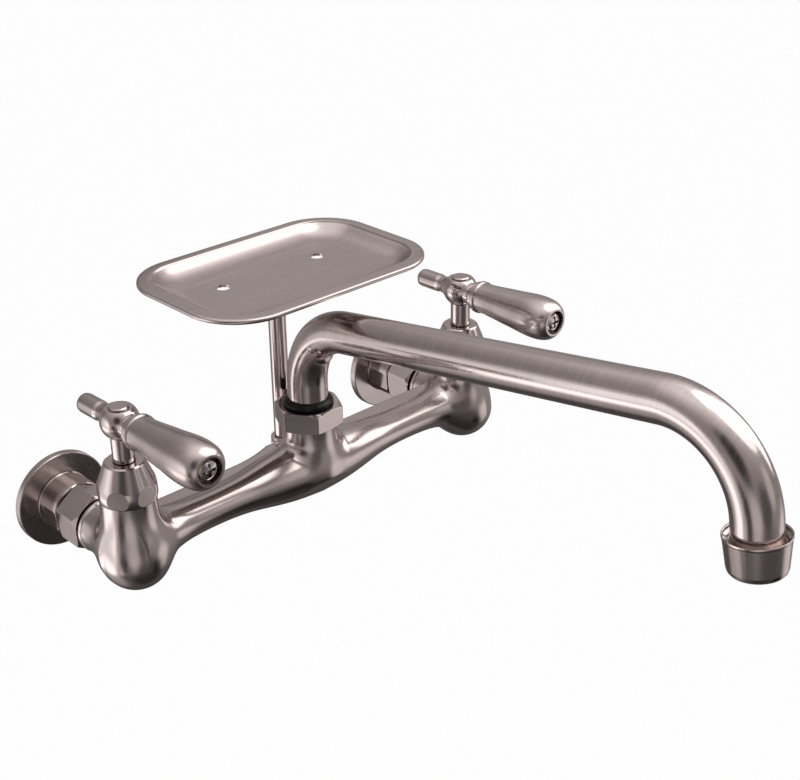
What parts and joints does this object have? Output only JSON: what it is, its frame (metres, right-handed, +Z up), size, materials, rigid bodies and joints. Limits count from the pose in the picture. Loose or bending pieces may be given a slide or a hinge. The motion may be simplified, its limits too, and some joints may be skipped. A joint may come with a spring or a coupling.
{
  "type": "wall-mounted kitchen faucet",
  "caption": "Wall-mounted bridge faucet with lever handles, a swivel tube spout with an aerator, hex inlet unions with wall flanges, and a soap tray on a post.",
  "frame": {"origin": "on the wall plane, midway between the axes of the two inlets", "axes": "+Z up; +X to the right for a person facing the wall; +Y into the wall, so the spout points along -Y"},
  "size_m": [0.2492, 0.3161, 0.1401],
  "materials": {
    "plated_brass": "brushed nickel plating over brass",
    "plated_steel": "brushed nickel plating over pressed steel",
    "bare_brass": "machined brass, unplated",
    "steel": "stainless steel",
    "rubber": "black moulded rubber",
    "ceramic": "polished white alumina ceramic",
    "plastic": "white moulded plastic"
  },
  "bodies": {
    "faucet": {"faucet_body": "plated_brass", "left_wall_flange": "plated_steel", "left_inlet_adapter": "plated_brass", "left_union_washer": "rubber", "left_tailpiece": "plated_brass", "left_coupling_nut": "plated_brass", "left_bonnet": "plated_brass", "left_cartridge_body": "bare_brass", "left_cartridge_oring": "rubber", "left_stem_oring": "rubber", "left_fixed_disc": "ceramic", "left_seat_seal": "rubber", "right_wall_flange": "plated_steel", "right_inlet_adapter": "plated_brass", "right_union_washer": "rubber", "right_tailpiece": "plated_brass", "right_coupling_nut": "plated_brass", "right_bonnet": "plated_brass", "right_cartridge_body": "bare_brass", "right_cartridge_oring": "rubber", "right_stem_oring": "rubber", "right_fixed_disc": "ceramic", "right_seat_seal": "rubber", "spout_friction_washer": "plastic", "spout_nut": "plated_brass", "spout_gasket": "rubber", "soap_tray": "plated_steel", "tray_post": "plated_brass", "post_set_screw": "steel"},
    "left_handle": {"left_handle_hub": "plated_brass", "left_handle_screw": "steel", "left_index_button": "plated_brass", "left_lever_grip": "plated_brass", "left_lever_screw": "steel", "left_valve_stem": "bare_brass", "left_moving_disc": "ceramic"},
    "right_handle": {"right_handle_hub": "plated_brass", "right_handle_screw": "steel", "right_index_button": "plated_brass", "right_lever_grip": "plated_brass", "right_lever_screw": "steel", "right_valve_stem": "bare_brass", "right_moving_disc": "ceramic"},
    "spout": {"spout_tube": "plated_brass", "spout_spigot": "bare_brass", "spout_orings": "rubber", "outlet_fitting": "bare_brass", "aerator_housing": "plated_brass", "aerator_washer": "rubber", "aerator_core": "plastic", "aerator_screen": "steel"}
  },
  "joints": [
    {"name": "left_handle_turn", "type": "hinge", "parent": "faucet", "child": "left_handle", "pos_m": [-0.1016, -0.0598, 0.0612], "axis": [0, 0, -1], "range_deg": [0, 90]},
    {"name": "right_handle_turn", "type": "hinge", "parent": "faucet", "child": "right_handle", "pos_m": [0.1016, -0.0598, 0.0612], "axis": [0, 0, 1], "range_deg": [0, 90]},
    {"name": "spout_swivel", "type": "hinge", "parent": "faucet", "child": "spout", "pos_m": [0, -0.0598, 0.03], "axis": [0, 0, 1], "range_deg": [-90, 90]}
  ]
}
